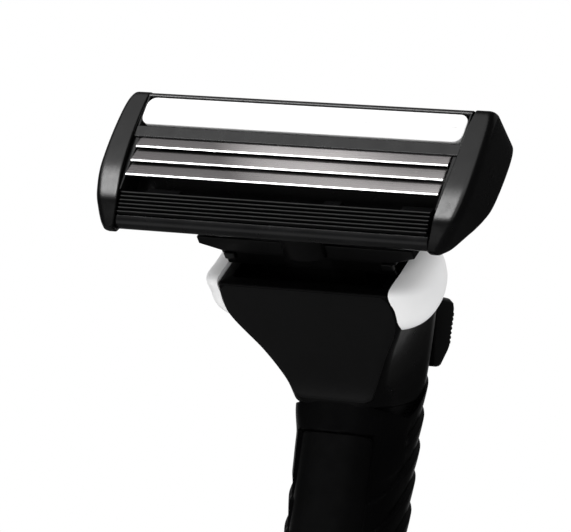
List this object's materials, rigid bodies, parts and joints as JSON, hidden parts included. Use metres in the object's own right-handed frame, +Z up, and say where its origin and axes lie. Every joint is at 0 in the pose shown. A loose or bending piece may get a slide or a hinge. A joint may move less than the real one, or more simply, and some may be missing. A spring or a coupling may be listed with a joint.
{
  "type": "cartridge razor",
  "caption": "Wet shaving razor with a pivoting multi-blade cartridge on a release head, bent over a straight ribbed rubber grip.",
  "frame": {"origin": "middle of the flat tail face of the grip", "axes": "+Z up the grip towards the head, blades towards -Y, +X to the right seen from the blades"},
  "size_m": [0.0418, 0.0309, 0.1414],
  "materials": {
    "cartridge_plastic": "moulded satin black",
    "end_cap_plastic": "smooth satin black",
    "strip_polymer": "waxy white polymer",
    "guard_rubber": "soft black elastomer",
    "connector_plastic": "moulded black",
    "mechanism_plastic": "acetal, black",
    "button_plastic": "fine texture, black",
    "head_plastic": "satin black",
    "chin_plastic": "smooth black",
    "inlay_plastic": "satin white",
    "core_plastic": "moulded black",
    "grip_rubber": "matte black elastomer",
    "panel_rubber": "smooth black elastomer",
    "tail_plastic": "moulded black",
    "blade_steel": "honed stainless strip",
    "support_steel": "stamped stainless strip",
    "spring_steel": "wound spring wire"
  },
  "bodies": {
    "handle": {"head_housing": "head_plastic", "chin_panel": "chin_plastic", "side_inlay_left": "inlay_plastic", "side_inlay_right": "inlay_plastic", "grip_core": "core_plastic", "rubber_grip": "grip_rubber", "grip_panel": "panel_rubber", "tail_cap": "tail_plastic", "plunger_spring": "spring_steel", "button_spring": "spring_steel"},
    "connector": {"connector_yoke": "connector_plastic"},
    "cartridge": {"cartridge_frame": "cartridge_plastic", "cap_carrier": "cartridge_plastic", "lubricating_strip": "strip_polymer", "guard_strip": "guard_rubber", "blade_upper": "blade_steel", "blade_middle": "blade_steel", "blade_lower": "blade_steel", "blade_support_upper": "support_steel", "blade_support_middle": "support_steel", "blade_support_lower": "support_steel", "end_cap_left": "end_cap_plastic", "end_cap_right": "end_cap_plastic"},
    "plunger": {"cartridge_plunger": "mechanism_plastic"},
    "button": {"release_button": "button_plastic"},
    "ejector": {"ejector_fork": "mechanism_plastic"}
  },
  "joints": [
    {"name": "connector_release", "type": "slide", "parent": "handle", "child": "connector", "axis": [0, -0.7373, 0.6756], "range_m": [0, 0.012]},
    {"name": "cartridge_pivot", "type": "hinge", "parent": "connector", "child": "cartridge", "pos_m": [0, -0.00926, 0.1306], "axis": [-1, 0, 0], "range_deg": [0, 40], "stiffness_Nm_per_rad": 0.01, "springref_deg": -34.38},
    {"name": "plunger_slide", "type": "slide", "parent": "handle", "child": "plunger", "axis": [0, 0.7373, -0.6756], "range_m": [0, 0.0019], "deforming": ["plunger_spring"]},
    {"name": "button_slide", "type": "slide", "parent": "handle", "child": "button", "axis": [0, 0, 1], "range_m": [0, 0.003], "stiffness_N_per_m": 300, "springref_m": -0.003},
    {"name": "ejector_slide", "type": "slide", "parent": "handle", "child": "ejector", "axis": [0, -0.7373, 0.6756], "range_m": [0, 0.0021], "deforming": ["button_spring"]}
  ],
  "couplings": [
    {"joint": "plunger_slide", "follows": "cartridge_pivot", "m_per_rad": 0.00245},
    {"joint": "ejector_slide", "follows": "button_slide", "ratio": 0.67559}
  ]
}
